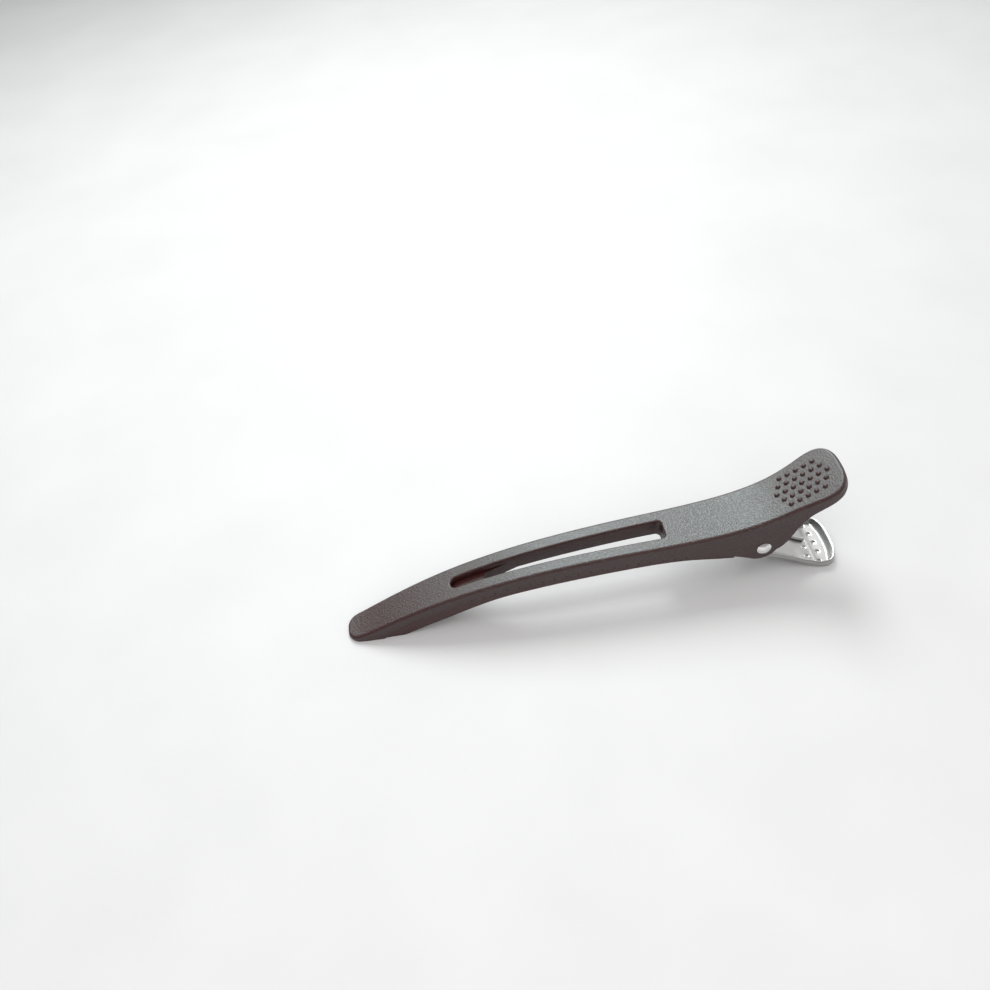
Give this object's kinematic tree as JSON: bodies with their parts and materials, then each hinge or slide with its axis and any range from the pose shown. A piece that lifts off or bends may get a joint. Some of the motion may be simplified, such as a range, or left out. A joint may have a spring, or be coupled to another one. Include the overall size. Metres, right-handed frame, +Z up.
{
  "type": "sectioning hair clip",
  "caption": "Long curved hair clip: two slotted grey jaws, pivot pin, bent metal lever, return spring and dotted thumb pad.",
  "frame": {"origin": "middle of the clip's bounding box, on the surface it rests on", "axes": "+X from the tip of the jaws to the thumb end, +Y across the clip along the pivot pin, +Z up"},
  "size_m": [0.1142, 0.0148, 0.0256],
  "materials": {
    "jaw_plastic": "matte with a fine grain and a slight sparkle",
    "lower_plastic": "matte",
    "lever_metal": "bright nickel plate",
    "pin_metal": "polished",
    "spring_wire": "drawn wire, satin"
  },
  "bodies": {
    "lower": {"lower_jaw": "lower_plastic", "lever": "lever_metal", "pin": "pin_metal", "spring": "spring_wire"},
    "upper": {"upper_jaw": "jaw_plastic", "spring_leg": "spring_wire"}
  },
  "joints": [
    {"name": "jaw_pivot", "type": "hinge", "parent": "lower", "child": "upper", "pos_m": [0.03853, 0, 0.00926], "axis": [0, 1, 0], "range_deg": [0, 35], "stiffness_Nm_per_rad": 0.15, "springref_deg": -45.84}
  ]
}
